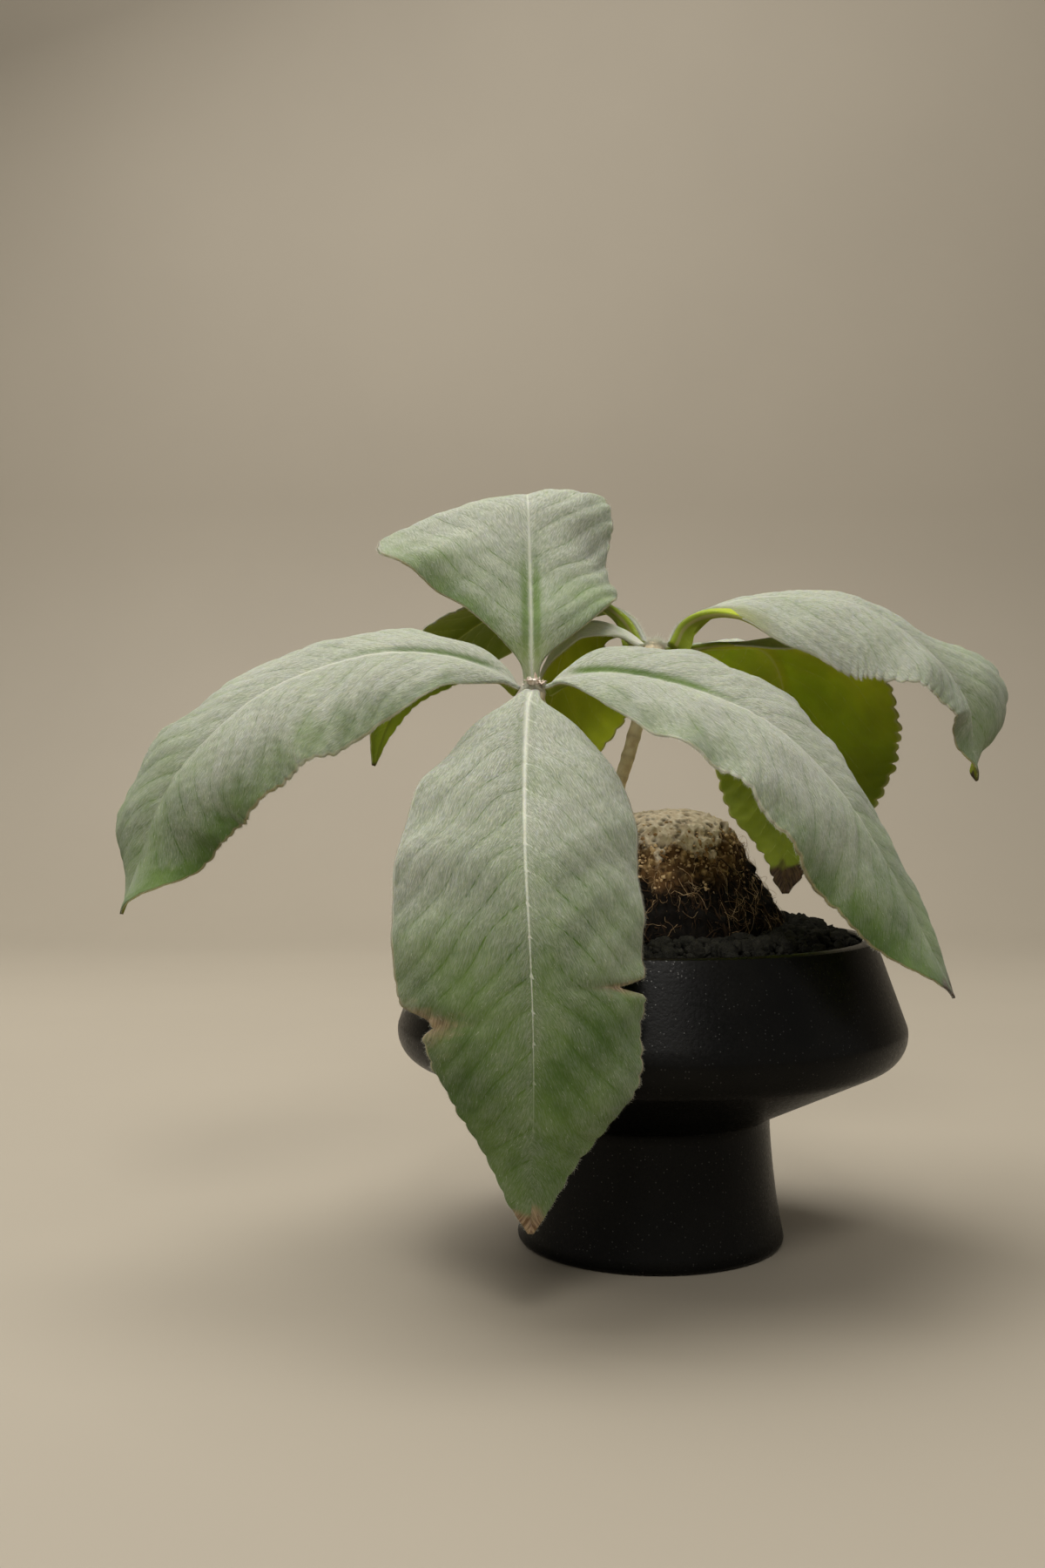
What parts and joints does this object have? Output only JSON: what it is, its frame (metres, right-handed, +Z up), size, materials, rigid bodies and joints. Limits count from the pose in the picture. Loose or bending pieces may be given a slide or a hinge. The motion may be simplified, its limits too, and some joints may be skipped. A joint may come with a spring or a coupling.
{
  "type": "potted brazilian edelweiss",
  "caption": "Potted succulent with a woody tuber, short stems and whorls of large silver-felted leaves, in a black footed ceramic bowl filled with dark gritty soil.",
  "frame": {"origin": "centre of the foot's flat underside, on the bowl's axis", "axes": "+Z up along the bowl's axis, -Y towards the front, where the large front leaf hangs"},
  "size_m": [0.2724, 0.1765, 0.2283],
  "materials": {
    "pot_ceramic": "matt black",
    "soil_grit": "coarse black grit",
    "tuber_bark": "pitted bark with matted roots",
    "stem_bark": "dry woody stem",
    "leaf_felt": "silvery felt of fine hairs"
  },
  "bodies": {
    "root": {"pot": "pot_ceramic", "soil": "soil_grit", "tuber": "tuber_bark", "stem_front": "stem_bark", "stem_back": "stem_bark", "leaf_front": "leaf_felt", "leaf_left": "leaf_felt", "leaf_right": "leaf_felt", "leaf_back": "leaf_felt", "leaf_rear_right": "leaf_felt", "leaf_rear_hanging": "leaf_felt", "leaf_rear_left": "leaf_felt", "leaf_rear_middle": "leaf_felt"}
  },
  "joints": []
}
